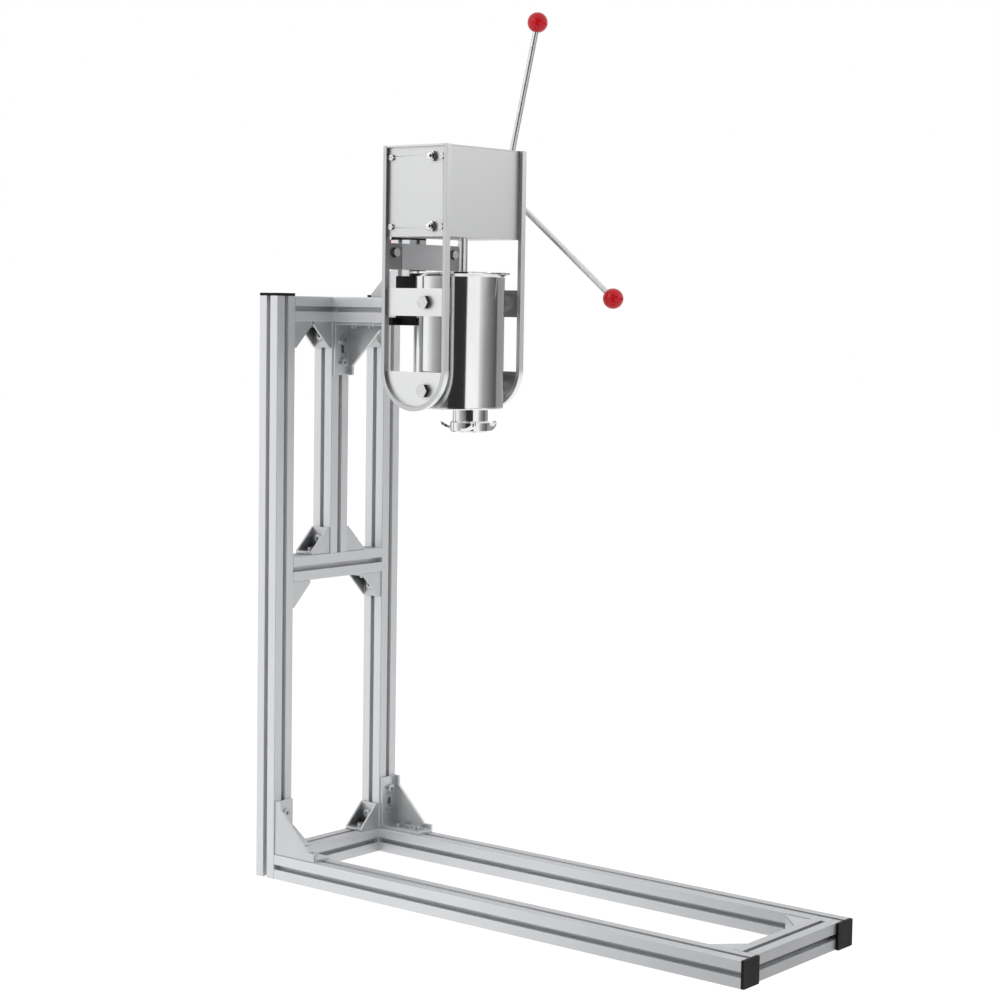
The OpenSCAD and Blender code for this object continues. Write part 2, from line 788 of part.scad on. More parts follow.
module mid_plate() {
    difference() {
        block(strap_in0, strap_in1, -cover_y1, -cover_y0, mid_plate_z0, mid_plate_z0 + mid_plate_h);
        bar_y(lug_x, mid_bolt_z, (barrel_bolt_d + loose) / 2, -cover_y1 - cut, -cover_y0 + cut);
    }
}

module low_plate() {
    top = bend_z - low_plate_drop;
    difference() {
        stand_xz(-cover_y1, -cover_y0) intersection() {
            translate([strap_x, bend_z]) circle(r = strap_bend_r - strap_t);
            translate([strap_x0, strap_z0]) square([head_l, top - strap_z0]);
        }
        bar_y(lug_x, low_bolt_z, (barrel_bolt_d + loose) / 2, -cover_y1 - cut, -cover_y0 + cut);
    }
}

module far_side() { mirror([0, 1, 0]) children(); }

module strap_near() { color(steel) strap(); }
module strap_far() { color(steel) far_side() strap(); }
module cover_near() { color(steel) cover(); }

module cover_far() {
    color(steel) difference() {
        far_side() cover();
        bar_y(shaft_x, shaft_z, bearing_boss_r + fit, cover_y0 - cut, cover_y1 + cut);
    }
}

module both_sides() {
    children();
    far_side() children();
}

module mid_plates() { color(steel) both_sides() mid_plate(); }
module low_plates() { color(steel) both_sides() low_plate(); }

module hex_bolt_y(x, z, flats, d, seat, reach) {
    head = d * hex_head_share;
    translate([x, -seat, z]) rotate([90, 0, 0]) hex_prism(flats, head);
    bar_y(x, z, d / 2 - fit, -seat, -reach);
}

module barrel_bolts() {
    color(zinc) both_sides() for (z = [mid_bolt_z, low_bolt_z])
        hex_bolt_y(lug_x, z, barrel_bolt_flats, barrel_bolt_d, cover_y1, cover_y0 - barrel_bolt_d / 2);
}

module cover_screws() {
    head = cover_screw_d * hex_head_share;
    color(zinc) both_sides() for (x = [strap_in0 + cover_screw_inset, strap_in1 - cover_screw_inset])
        for (z = [roller_low_z, roller_high_z]) difference() {
            union() {
                bar_y(x, z, cover_screw_head_d / 2, -cover_y1 - head, -cover_y1);
                bar_y(x, z, cover_screw_d / 2, -cover_y1, -cover_y0 + sheet_t + cut);
            }
            block(x - cover_screw_head_d, x + cover_screw_head_d, -cover_y1 - head - cut,
                  -cover_y1 - head / 2, z - head / 4, z + head / 4);
        }
}

// Head box

module casing() {
    difference() {
        union() {
            block(strap_in0, strap_in0 + sheet_t, -cover_y0, cover_y0, head_z0, cover_z1);
            both_sides() block(strap_in0, strap_in0 + sheet_flange, -cover_y0, -cover_y0 + sheet_t,
                               head_z0, cover_z1);
        }
        both_sides() for (z = [roller_low_z, roller_high_z])
            bar_y(strap_in0 + cover_screw_inset, z, cover_screw_d / 2 + fit, -cover_y0 - cut,
                  -cover_y0 + sheet_t + cut);
    }
}

module casing_back() { color(steel) casing(); }

module casing_front() {
    color(steel) translate([2 * strap_x, 0, 0]) mirror([1, 0, 0]) casing();
}

module rod_hole(z) {
    translate([rod_x, 0, z - cut]) cylinder(r = rod_r + loose, h = plate_t + 2 * cut);
}

module top_plate() {
    color(steel) difference() {
        block(strap_in0, strap_in1, -half_w, half_w, cover_z1, head_z1);
        rod_hole(cover_z1);
    }
}

module bottom_plate() {
    y1 = cover_y0 - sheet_t;
    color(steel) difference() {
        block(strap_in0 + sheet_t, strap_in1 - sheet_t, -y1, y1, head_z0, head_z0 + plate_t);
        rod_hole(head_z0);
    }
}

// Roller axles run from cover to cover, with spacers that centre the rollers

module roller_axles() {
    color(steel) for (z = [roller_low_z, roller_high_z])
        bar_y(roller_x, z, axle_d / 2, -cover_y1 - nut_base_h, cover_y1 + nut_base_h);
}

module axle_spacers() {
    color(steel) both_sides() for (z = [roller_low_z, roller_high_z]) difference() {
        bar_y(roller_x, z, spacer_d / 2, -cover_y0, -roller_w / 2 - rest_gap);
        bar_y(roller_x, z, axle_d / 2 + fit, -cover_y0 - cut, 0);
    }
}

module dome_nuts() {
    color(steel) both_sides() for (z = [roller_low_z, roller_high_z])
        translate([roller_x, -cover_y1, z]) rotate([90, 0, 0]) difference() {
            union() {
                hex_prism(dome_flats, nut_base_h);
                translate([0, 0, nut_base_h]) intersection() {
                    sphere(r = dome_r);
                    cylinder(r = dome_r, h = dome_r);
                }
            }
            translate([0, 0, -cut]) cylinder(r = axle_d / 2 + fit, h = nut_base_h + cut);
        }
}

module guide_roller(z) {
    difference() {
        bar_y(roller_x, z, roller_flange_r, -roller_w / 2, roller_w / 2);
        bar_y(roller_x, z, axle_d / 2 + fit, -roller_w, roller_w);
        translate([roller_x, 0, z]) rotate([90, 0, 0]) rotate_extrude()
            translate([roller_x - rod_x, 0]) circle(r = groove_r);
    }
}

module guide_roller_upper() { color(white) guide_roller(roller_high_z); }
module guide_roller_lower() { color(white) guide_roller(roller_low_z); }

// Shaft bearings: the near one is blind, and the far one comes out through the cover

module shaft_bearing_near() {
    color(bronze) difference() {
        union() {
            bar_y(shaft_x, shaft_z, bearing_flange_r, -cover_y0, -cover_y0 + bearing_flange_t);
            bar_y(shaft_x, shaft_z, bearing_boss_r, -cover_y0, -cover_y0 + bearing_l);
        }
        bar_y(shaft_x, shaft_z, shaft_d / 2 + fit, -cover_y0 + bearing_flange_t / 2, 0);
    }
}

module shaft_bearing_far() {
    color(bronze) difference() {
        union() {
            bar_y(shaft_x, shaft_z, bearing_flange_r, cover_y0 - bearing_flange_t, cover_y0);
            bar_y(shaft_x, shaft_z, bearing_boss_r, cover_y0 - bearing_l, cover_y1 + bearing_flange_t);
        }
        bar_y(shaft_x, shaft_z, shaft_d / 2 + fit, 0, head_w);
    }
}

// Barrel

// Turns an outline of the wall around the barrel's axis
module barrel_turned() {
    translate([axis_x, 0, barrel_z0]) rotate_extrude($fn = round_fn) children();
}

module barrel() {
    color(steel) barrel_turned() polygon([
        [bore_r, barrel_floor], [barrel_r, barrel_floor],
        [barrel_r, barrel_h - rim_t - rim_flare_h], [rim_r, barrel_h - rim_t],
        [rim_r, barrel_h], [bore_r, barrel_h]
    ]);
}

module barrel_bottom() {
    chamfer = min(barrel_wall, barrel_floor / 2);
    color(steel) difference() {
        barrel_turned() polygon([
            [0, 0], [barrel_r - chamfer, 0], [barrel_r, chamfer],
            [barrel_r, barrel_floor], [0, barrel_floor]
        ]);
        translate([outlet_x, 0, barrel_z0 - cut]) cylinder(r = neck_r, h = barrel_floor + 2 * cut);
    }
}

module barrel_lugs() {
    hole_l = barrel_bolt_d * bolt_hole_share;
    color(steel) both_sides() for (z = [mid_bolt_z, low_bolt_z]) difference() {
        bar_y(lug_x, z, lug_r, -cover_y0, 0);
        translate([axis_x, 0, z - 2 * lug_r]) cylinder(r = barrel_r, h = 4 * lug_r, $fn = round_fn);
        bar_y(lug_x, z, barrel_bolt_d / 2, -cover_y0 - cut, -cover_y0 + hole_l);
    }
}

// Outlet: neck, sealing ring, die and wing nut

module ring(r, hole_r, z0, z1) {
    translate([outlet_x, 0, z0]) difference() {
        cylinder(r = r, h = z1 - z0);
        translate([0, 0, -cut]) cylinder(r = hole_r, h = z1 - z0 + 2 * cut);
    }
}

module outlet_neck() { color(steel) ring(neck_r - fit, neck_r - neck_wall, neck_z0, floor_z); }
module die_gasket() { color(white) ring(neck_r - loose, neck_r - neck_wall, neck_z0 - gasket_t, neck_z0); }

module star_2d() {
    polygon([for (k = [0:2 * star_points - 1])
        let (r = k % 2 == 0 ? star_r : star_r * star_share, a = 180 * k / star_points)
            [r * cos(a), r * sin(a)]]);
}

module shaping_die() {
    color(steel) difference() {
        translate([outlet_x, 0, die_z0]) cylinder(r = neck_r - loose, h = die_t);
        translate([outlet_x, 0, die_z0 - cut]) linear_extrude(die_t + 2 * cut) star_2d();
    }
}

// An ear runs out along X and curves up; its tip is round from above
module ear() {
    intersection() {
        translate([0, ear_w / 2, 0]) rotate([90, 0, 0]) linear_extrude(ear_w) intersection() {
            translate([0, ear_curve_r]) difference() {
                circle(r = ear_curve_r + ear_t / 2);
                circle(r = ear_curve_r - ear_t / 2);
            }
            translate([-ear_w / 2, -ear_t]) square([ear_l + ear_w / 2, ear_l]);
        }
        translate([0, 0, -ear_t]) linear_extrude(ear_l) {
            translate([-ear_w / 2, -ear_w / 2]) square([ear_l, ear_w]);
            translate([ear_l - ear_w / 2, 0]) circle(r = ear_w / 2);
        }
    }
}

module wing_nut() {
    root_r = (neck_r + nut_r) / 2;
    color(steel) difference() {
        translate([outlet_x, 0, nut_z0]) {
            rotate_extrude() polygon([
                [0, 0], [nut_r - nut_chamfer, 0], [nut_r, nut_chamfer],
                [nut_r, nut_h - nut_chamfer], [nut_r - nut_chamfer, nut_h], [0, nut_h]
            ]);
            for (k = [0:ears - 1]) rotate(ear_angle + 360 * k / ears)
                translate([root_r, 0, ear_root_h]) rotate(ear_sweep) ear();
        }
        translate([outlet_x, 0, die_z0]) cylinder(r = neck_r, h = nut_h);
        translate([outlet_x, 0, nut_z0 - cut]) cylinder(r = nut_open_r, h = nut_h);
    }
}

// Wheel

module wheel_shaft() {
    color(steel) difference() {
        bar_y(shaft_x, shaft_z, shaft_d / 2, -cover_y0 + bearing_flange_t / 2 + rest_gap,
              wheel_y + hub_front);
        block(shaft_x - key_w / 2, shaft_x + key_w / 2, -pinion_w / 2, pinion_w / 2,
              shaft_z + shaft_d / 2 - key_h / 2, shaft_z + shaft_d);
    }
}

// Flank of an involute tooth: point at radius r, turned by half the tooth's angle at the pitch circle
function involute_turn(r, base) =
    let (c = base / r) (tan(acos(c)) * 180 / PI) - acos(c);

function flank_point(r, base, half) =
    let (a = half - involute_turn(max(r, base), base)) [r * cos(a), r * sin(a)];

module pinion_2d() {
    base = pitch_r * cos(pressure_angle);
    root = pitch_r - pinion_dedendum;
    tip = pitch_r + pinion_addendum;
    pitch_half = 90 / pinion_teeth - backlash / (4 * pitch_r) * 180 / PI;
    half = pitch_half + involute_turn(pitch_r, base);
    upper = [for (i = [0:flank_steps]) flank_point(root + (tip - root) * i / flank_steps, base, half)];
    lower = [for (p = upper) [p[0], -p[1]]];
    for (k = [0:pinion_teeth - 1]) rotate(360 * k / pinion_teeth)
        polygon(concat([[0, 0]], lower, [for (i = [flank_steps:-1:0]) upper[i]]));
    circle(r = root);
}

module pinion() {
    color(zinc) difference() {
        translate([shaft_x, pinion_w / 2, shaft_z]) rotate([90, 0, 0]) linear_extrude(pinion_w) pinion_2d();
        bar_y(shaft_x, shaft_z, shaft_d / 2 + fit, -pinion_w, pinion_w);
        block(shaft_x - key_w / 2, shaft_x + key_w / 2, -pinion_w, pinion_w,
              shaft_z, shaft_z + shaft_d / 2 + key_h / 2);
    }
}

module pinion_key() {
    color(zinc) block(shaft_x - key_w / 2 + fit, shaft_x + key_w / 2 - fit, -pinion_w / 2, pinion_w / 2,
                      shaft_z + shaft_d / 2 - key_h / 2, shaft_z + shaft_d / 2 + key_h / 2 - fit);
}

module shaft_collars() {
    y0 = cover_y0 - bearing_l - rest_gap;
    color(zinc) both_sides() difference() {
        bar_y(shaft_x, shaft_z, bearing_boss_r, -y0, -y0 + collar_l);
        bar_y(shaft_x, shaft_z, shaft_d / 2 + fit, -y0 - cut, 0);
    }
}

// Places its children at each arm's root, with +Z out along the arm
module at_arms() {
    for (k = [0:2]) translate([shaft_x, wheel_y, shaft_z])
        rotate([0, -first_arm_angle - 120 * k, 0]) rotate([0, 0, arm_tilt]) rotate([0, 90, 0]) children();
}

module wheel_hub() {
    color(steel) difference() {
        bar_y(shaft_x, shaft_z, hub_r, wheel_y - hub_back, wheel_y + hub_front);
        bar_y(shaft_x, shaft_z, shaft_d / 2 + fit, wheel_y - hub_back - cut, wheel_y + hub_front + cut);
        at_arms() translate([0, 0, arm_root]) cylinder(r = arm_d / 2 + fit, h = hub_r);
    }
}

module wheel_arms() {
    color(steel) at_arms() {
        translate([0, 0, arm_root]) cylinder(d = arm_d, h = arm_full - ball_flat - arm_root);
        translate([0, 0, arm_root]) cylinder(d = arm_pin_d, h = arm_full - arm_root);
    }
}

module wheel_balls() {
    color(red) at_arms() translate([0, 0, arm_full]) difference() {
        sphere(d = ball_d);
        translate([0, 0, -ball_d]) cylinder(r = arm_pin_d / 2 + fit, h = ball_d + fit);
        translate([0, 0, -ball_d - ball_flat]) cylinder(d = arm_d + loose, h = ball_d);
    }
}

// Rack rod: teeth on its back, turned down to a stud that holds the piston

module rack_gaps_2d() {
    first = -ceil(stroke / tooth_pitch) - spare_gaps;
    last = floor((rod_top - shaft_z - tooth_pitch / 4) / tooth_pitch);
    face_x = axis_x - rack_addendum;
    floor_x = axis_x + rack_dedendum;
    open_half = tooth_pitch / 4 + backlash / 4;
    out_half = open_half + rack_addendum * tan(pressure_angle);
    in_half = open_half - rack_dedendum * tan(pressure_angle);
    back_x = rod_x - rod_r - cut;
    for (k = [first:last]) translate([0, shaft_z + k * tooth_pitch])
        polygon([[back_x, -out_half], [face_x, -out_half], [floor_x, -in_half],
                 [floor_x, in_half], [face_x, out_half], [back_x, out_half]]);
    translate([back_x, shaft_z + first * tooth_pitch])
        square([face_x - back_x, rod_top + cut - shaft_z - first * tooth_pitch]);
}

module rack_rod() {
    color(steel) difference() {
        union() {
            translate([rod_x, 0, piston_top]) cylinder(r = rod_r, h = rod_top - piston_top);
            translate([rod_x, 0, piston_z0]) cylinder(d = stud_d, h = piston_h);
        }
        stand_xz(-rod_d, rod_d) rack_gaps_2d();
    }
}

// Piston: a plastic disc, its seal ring, and the nut in a pocket under it

module piston_disc(r, z0, h) {
    translate([axis_x, 0, z0]) cylinder(r = r, h = h, $fn = round_fn);
}

module piston() {
    color(white) difference() {
        piston_disc(piston_r, piston_z0, piston_h);
        difference() {
            piston_disc(bore_r, seal_z0, seal_h);
            piston_disc(piston_r - seal_d, seal_z0 - cut, seal_h + 2 * cut);
        }
        translate([rod_x, 0, piston_z0 - cut]) {
            cylinder(r = stud_d / 2 + fit, h = piston_h + 2 * cut);
            cylinder(d = piston_nut_flats * nut_pocket_share, h = piston_nut_h + cut);
        }
    }
}

module piston_seal() {
    color(black) difference() {
        piston_disc(bore_r - seal_gap, seal_z0, seal_h);
        piston_disc(piston_r - seal_d + fit, seal_z0 - cut, seal_h + 2 * cut);
    }
}

module piston_nut() {
    color(steel) translate([rod_x, 0, piston_z0]) difference() {
        hex_prism(piston_nut_flats, piston_nut_h);
        translate([0, 0, -cut]) cylinder(r = stud_d / 2 + fit, h = piston_nut_h + 2 * cut);
    }
}

post_near();
post_far();
rail_near();
rail_far();
base_cross_rail();
end_cross_rail();
mid_cross_rail();
top_cross_rail();
mid_post();
arm_profile();
mount_post();
profile_end_caps();
corner_brackets();
gusset_near();
gusset_far();
gusset_arm();
frame_screws();
t_slot_nuts();
cross_bar();
clamp_plate();
mount_screws();
strap_bolts();
barrel_saddle();
strap_near();
strap_far();
cover_near();
cover_far();
cover_screws();
casing_front();
casing_back();
top_plate();
bottom_plate();
roller_axles();
axle_spacers();
dome_nuts();
shaft_bearing_near();
shaft_bearing_far();
mid_plates();
low_plates();
barrel_bolts();
barrel();
barrel_bottom();
barrel_lugs();
outlet_neck();
shaping_die();
die_gasket();
wing_nut();
guide_roller_upper();
guide_roller_lower();
wheel_shaft();
pinion();
pinion_key();
shaft_collars();
wheel_hub();
wheel_arms();
wheel_balls();
rack_rod();
piston();
piston_seal();
piston_nut();
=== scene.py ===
"""Looks of the churro press: finishes, small details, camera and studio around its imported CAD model.

Lengths are in metres, in the CAD's frame: X from the posts to the free end of the base, Y across the
stand towards the hand wheel, Z up. Angles are in degrees where they are typed.
"""
import math

import bmesh
import bpy
from mathutils import Matrix, Vector


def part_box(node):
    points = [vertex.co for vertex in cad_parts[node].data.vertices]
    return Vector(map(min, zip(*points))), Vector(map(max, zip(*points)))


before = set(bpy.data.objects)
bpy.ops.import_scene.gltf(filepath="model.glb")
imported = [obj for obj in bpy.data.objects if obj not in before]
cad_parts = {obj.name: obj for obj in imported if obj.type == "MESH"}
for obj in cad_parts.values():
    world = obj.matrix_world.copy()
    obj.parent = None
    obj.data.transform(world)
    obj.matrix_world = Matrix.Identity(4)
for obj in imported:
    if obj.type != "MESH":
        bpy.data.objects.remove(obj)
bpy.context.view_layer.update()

MM = 0.001


# Camera: placed by fitting the stand's edges in the photograph

CAMERA_AT = (2.5083, -2.6893, 0.9149)
CAMERA_AZIMUTH = 38.683
CAMERA_ELEVATION = 4.851
CAMERA_ROLL = 0.892
FOCAL_PIXELS = 2252.8
PHOTO_PIXELS = 1000
SENSOR_WIDTH = 36.0
CLIP_START = 0.05
CLIP_END = 60.0


def make_camera():
    azimuth, elevation, roll = (math.radians(a) for a in (CAMERA_AZIMUTH, CAMERA_ELEVATION, CAMERA_ROLL))
    back = Vector((math.sin(azimuth) * math.cos(elevation), -math.cos(azimuth) * math.cos(elevation),
                   math.sin(elevation)))
    level_right = (-back).cross(Vector((0, 0, 1))).normalized()
    level_up = level_right.cross(-back)
    right = math.cos(roll) * level_right + math.sin(roll) * level_up
    up = -math.sin(roll) * level_right + math.cos(roll) * level_up
    data = bpy.data.cameras.new("camera")
    data.sensor_width = SENSOR_WIDTH
    data.lens = FOCAL_PIXELS / PHOTO_PIXELS * SENSOR_WIDTH
    data.clip_start = CLIP_START
    data.clip_end = CLIP_END
    camera = bpy.data.objects.new("camera", data)
    camera.matrix_world = Matrix.Translation(CAMERA_AT) @ Matrix((right, up, back)).transposed().to_4x4()
    bpy.context.scene.collection.objects.link(camera)
    bpy.context.scene.camera = camera


# Materials

NOISE_LOW = 0.3
NOISE_HIGH = 0.7


class Finish:
    """A Principled material with helpers for the nodes that give it its detail.

    In the helpers each value, a or b is a socket, and a and b can also be numbers.
    """

    def __init__(self, name, color, metallic, roughness, **inputs):
        self.material = bpy.data.materials.new(name)
        self.material.use_nodes = True
        self.nodes = self.material.node_tree.nodes
        self.links = self.material.node_tree.links
        self.shader = self.nodes["Principled BSDF"]
        self.color = color
        self.roughness = roughness
        self.shader.inputs["Base Color"].default_value = (*color, 1)
        self.shader.inputs["Metallic"].default_value = metallic
        self.shader.inputs["Roughness"].default_value = roughness
        for key, value in inputs.items():
            self.shader.inputs[key.replace("_", " ")].default_value = value
        self.place = self.nodes.new("ShaderNodeTexCoord").outputs["Object"]

    def noise(self, scales, detail, roughness=0.55):
        """Noise with its own scale along X, Y and Z: about how many features lie in a metre."""
        mapping = self.nodes.new("ShaderNodeMapping")
        mapping.inputs["Scale"].default_value = scales
        self.links.new(self.place, mapping.inputs["Vector"])
        node = self.nodes.new("ShaderNodeTexNoise")
        node.inputs["Scale"].default_value = 1.0
        node.inputs["Detail"].default_value = detail
        node.inputs["Roughness"].default_value = roughness
        self.links.new(mapping.outputs["Vector"], node.inputs["Vector"])
        return node.outputs["Fac"]

    def even_noise(self, scale, detail):
        """Noise with the same scale along X, Y and Z."""
        return self.noise((scale, scale, scale), detail)

    def spread(self, value, low, high, from_low=NOISE_LOW, from_high=NOISE_HIGH):
        """Maps a value, which is noise unless its own range is given, onto the range from low to high."""
        node = self.nodes.new("ShaderNodeMapRange")
        node.inputs["From Min"].default_value = from_low
        node.inputs["From Max"].default_value = from_high
        node.inputs["To Min"].default_value = low
        node.inputs["To Max"].default_value = high
        self.links.new(value, node.inputs["Value"])
        return node.outputs["Result"]

    def vary_color(self, value, low, high):
        """Lets the colour run from low to high times the base colour with the value."""
        node = self.nodes.new("ShaderNodeMix")
        node.data_type = "RGBA"
        node.inputs["A"].default_value = (*(c * low for c in self.color), 1)
        node.inputs["B"].default_value = (*(min(1.0, c * high) for c in self.color), 1)
        self.links.new(self.spread(value, 0, 1), node.inputs["Factor"])
        self.links.new(node.outputs["Result"], self.shader.inputs["Base Color"])

    def vary_roughness(self, value, amount):
        """Lets the roughness run up to an amount below and above its own with the value."""
        low, high = self.roughness - amount, self.roughness + amount
        self.links.new(self.spread(value, low, high), self.shader.inputs["Roughness"])

    def bump(self, value, depth):
        """Adds a relief of a depth to those that the shader already has."""
        node = self.nodes.new("ShaderNodeBump")
        node.inputs["Strength"].default_value = 1.0
        node.inputs["Distance"].default_value = depth
        self.links.new(value, node.inputs["Height"])
        if self.shader.inputs["Normal"].is_linked:
            self.links.new(self.shader.inputs["Normal"].links[0].from_socket, node.inputs["Normal"])
        self.links.new(node.outputs["Normal"], self.shader.inputs["Normal"])

    def calculate(self, operation, a, b=0):
        node = self.nodes.new("ShaderNodeMath")
        node.operation = operation
        for value, socket in zip((a, b), node.inputs):
            if isinstance(value, (int, float)):
                socket.default_value = value
            else:
                self.links.new(value, socket)
        return node.outputs["Value"]

    def add(self, a, b):
        return self.calculate("ADD", a, b)

    def subtract(self, a, b):
        return self.calculate("SUBTRACT", a, b)

    def times(self, a, b):
        return self.calculate("MULTIPLY", a, b)

    def larger(self, a, b):
        return self.calculate("MAXIMUM", a, b)

    def size(self, a):
        return self.calculate("ABSOLUTE", a)

    def above(self, a, b):
        return self.calculate("GREATER_THAN", a, b)

    def below(self, a, b):
        return self.calculate("LESS_THAN", a, b)

    def parts(self, vector):
        """The X, Y and Z of a vector socket."""
        node = self.nodes.new("ShaderNodeSeparateXYZ")
        self.links.new(vector, node.inputs["Vector"])
        return [node.outputs[axis] for axis in "XYZ"]

    def normal(self):
        return self.parts(self.nodes.new("ShaderNodeNewGeometry").outputs["Normal"])

    def darken(self, mask, share):
        """Takes the base colour down to a share of itself where the mask is 1."""
        node = self.nodes.new("ShaderNodeMix")
        node.data_type = "RGBA"
        node.blend_type = "MULTIPLY"
        node.inputs["B"].default_value = (share, share, share, 1)
        self.links.new(mask, node.inputs["Factor"])
        base = self.shader.inputs["Base Color"]
        self.links.new(base.links[0].from_socket, node.inputs["A"])
        self.links.new(node.outputs["Result"], base)


# Lines left by brushing, polishing or an extrusion die run along one axis
LINES_ACROSS = 2600.0
LINES_ALONG = 6.0
COARSE_LINES_SHARE = 0.22
POLISH_LINES_SHARE = 0.7

# A face looks along an axis where that part of its normal is past one of these
FACING = 0.5
SQUARELY_FACING = 0.7
STRAIGHT_AT = 0.95

# A face looks inward where its distance from the middle, times its normal's part towards it, is past this
INSIDE_FACE = 0.01

DIE_LINE_DEPTH = 0.010 * MM
DIE_GRAIN_DEPTH = 0.006 * MM
BRUSH_LINE_DEPTH = 0.012 * MM
POLISH_LINE_DEPTH = 0.003 * MM
POLISH_WAVE_DEPTH = 0.06 * MM
CAST_PIT_DEPTH = 0.05 * MM
TURNED_MARK_DEPTH = 0.005 * MM
BOLT_MARK_DEPTH = 0.008 * MM
DOME_MARK_DEPTH = 0.004 * MM
ENAMEL_GRAIN_DEPTH = 0.006 * MM
BLACK_GRAIN_DEPTH = 0.030 * MM
WHITE_GRAIN_DEPTH = 0.010 * MM
RUBBER_GRAIN_DEPTH = 0.020 * MM
ORANGE_PEEL_DEPTH = 0.006 * MM

# Painted shade: the base gets darker between these places along X
FREE_END_START = 0.40
FREE_END_FULL = 0.95

# Painted shade in the corners of a casting: how far it reaches, and the open share of the view where it ends
CORNER_REACH = 30 * MM
CORNER_SAMPLES = 8
CORNER_DARKEST = 0.25
CORNER_CLEAR = 0.62

SATIN_METALLIC = 0.4
SATIN_ROUGHNESS = 0.35


def lines_along(axis, share=1.0):
    """Noise scales of lines along an axis. A smaller share gives coarser lines."""
    return tuple(share * (LINES_ALONG if name == axis else LINES_ACROSS) for name in "xyz")


def anodised(axis):
    """Extruded aluminium, matt anodised: fine die lines along the profile and a soft mottle. Painted shade:
    faces that look up or towards the free end are darker, and so are upright faces near the free end."""
    f = Finish(f"anodised_{axis}", color=(0.79, 0.80, 0.815), metallic=0.6, roughness=0.45)
    lines = f.noise(lines_along(axis), detail=3)
    mottle = f.even_noise(22, detail=5)
    grain = f.even_noise(4200, detail=2)
    f.vary_color(f.add(lines, mottle), low=0.93, high=1.05)
    f.vary_roughness(mottle, amount=0.06)
    f.bump(lines, DIE_LINE_DEPTH)
    f.bump(grain, DIE_GRAIN_DEPTH)
    to_free_end, _, up = f.normal()
    # Painted shade on faces that look towards the free end or up, and on upright faces near the free end
    f.darken(f.above(to_free_end, FACING), share=0.86)
    f.darken(f.above(up, FACING), share=0.78)
    near_free_end = f.spread(f.parts(f.place)[0], 0, 1, FREE_END_START, FREE_END_FULL)
    upright = f.below(f.size(up), FACING)
    f.darken(f.times(near_free_end, upright), share=0.60)
    return f


def brushed(name, axis, color, roughness):
    """Stainless steel brushed along an axis, with a few longer scratches and faint clouds."""
    f = Finish(name, color, metallic=1.0, roughness=roughness)
    lines = f.noise(lines_along(axis), detail=6, roughness=0.7)
    coarse = f.noise(lines_along(axis, COARSE_LINES_SHARE), detail=3)
    clouds = f.even_noise(14, detail=4)
    f.vary_color(f.add(coarse, clouds), low=0.93, high=1.05)
    f.vary_roughness(f.add(lines, clouds), amount=0.05)
    f.bump(lines, BRUSH_LINE_DEPTH)
    return f


def strap_bar():
    """Brushed flat bar, bent to a U, with painted shade on the faces inside the U and, less dark, on the
    faces that look along -Y.
    """
    f = brushed("bar_brushed", "z", color=(0.82, 0.825, 0.83), roughness=0.30)
    low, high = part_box("strap_near")
    middle = (low[0] + high[0]) / 2
    bend_z = low[2] + (high[0] - low[0]) / 2
    x, _, z = f.parts(f.place)
    nx, ny, nz = f.normal()
    across = f.times(nx, f.subtract(middle, x))
    down = f.times(nz, f.larger(0, f.subtract(bend_z, z)))
    # Painted shade inside the U, then on the faces that look along -Y
    f.darken(f.above(f.add(across, down), INSIDE_FACE), share=0.40)
    f.darken(f.below(ny, -SQUARELY_FACING), share=0.70)
    return f


def plate_steel():
    """Brushed side plates, with painted shade on the faces that look inward."""
    f = brushed("plate_brushed", "x", color=(0.80, 0.805, 0.81), roughness=0.34)
    y = f.parts(f.place)[1]
    outward = f.times(y, f.normal()[1])
    # Painted shade on the faces that look inward
    f.darken(f.below(outward, -INSIDE_FACE), share=0.35)
    return f


def polished(name, axis, color, roughness):
    """Polished stainless steel: a mirror with hair-fine polishing lines, smears and slow waves."""
    f = Finish(name, color, metallic=1.0, roughness=roughness)
    lines = f.noise(lines_along(axis, POLISH_LINES_SHARE), detail=4)
    smears = f.noise((34, 34, 12), detail=5)
    waves = f.noise((26, 26, 5), detail=1)
    f.vary_color(smears, low=0.94, high=1.03)
    f.vary_roughness(f.add(lines, smears), amount=roughness / 2)
    f.bump(lines, POLISH_LINE_DEPTH)
    f.bump(waves, POLISH_WAVE_DEPTH)
    return f


def barrel_steel():
    """The barrel is polished outside only. Inside it keeps the satin skin of the rolled sheet."""
    f = polished("barrel_polished", "z", color=(0.88, 0.885, 0.89), roughness=0.07)
    low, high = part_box("barrel")
    x, y, _ = f.parts(f.place)
    nx, ny, _ = f.normal()
    outward = f.add(f.times(nx, f.subtract(x, (low[0] + high[0]) / 2)),
                    f.times(ny, f.subtract(y, (low[1] + high[1]) / 2)))
    inside = f.below(outward, -INSIDE_FACE)
    f.links.new(f.subtract(1.0, f.times(inside, 1.0 - SATIN_METALLIC)), f.shader.inputs["Metallic"])
    smooth = f.shader.inputs["Roughness"].links[0].from_socket
    f.links.new(f.larger(smooth, f.times(inside, SATIN_ROUGHNESS)), f.shader.inputs["Roughness"])
    return f


def cast_metal(name, color, roughness, painted_corner_shade):
    """Die-cast and tumbled: a pebbled skin, darker in its pits. Its corners get painted shade, down to the
    given share of their colour."""
    f = Finish(name, color, metallic=0.78, roughness=roughness)
    pits = f.even_noise(900, detail=4)
    clouds = f.even_noise(60, detail=3)
    f.vary_color(f.add(pits, clouds), low=0.86, high=1.06)
    f.vary_roughness(clouds, amount=0.08)
    f.bump(pits, CAST_PIT_DEPTH)
    # Painted shade in the corners, from an occlusion node
    corners = f.nodes.new("ShaderNodeAmbientOcclusion")
    corners.inputs["Distance"].default_value = CORNER_REACH
    corners.samples = CORNER_SAMPLES
    f.darken(f.spread(corners.outputs["AO"], 1, 0, CORNER_DARKEST, CORNER_CLEAR), painted_corner_shade)
    return f


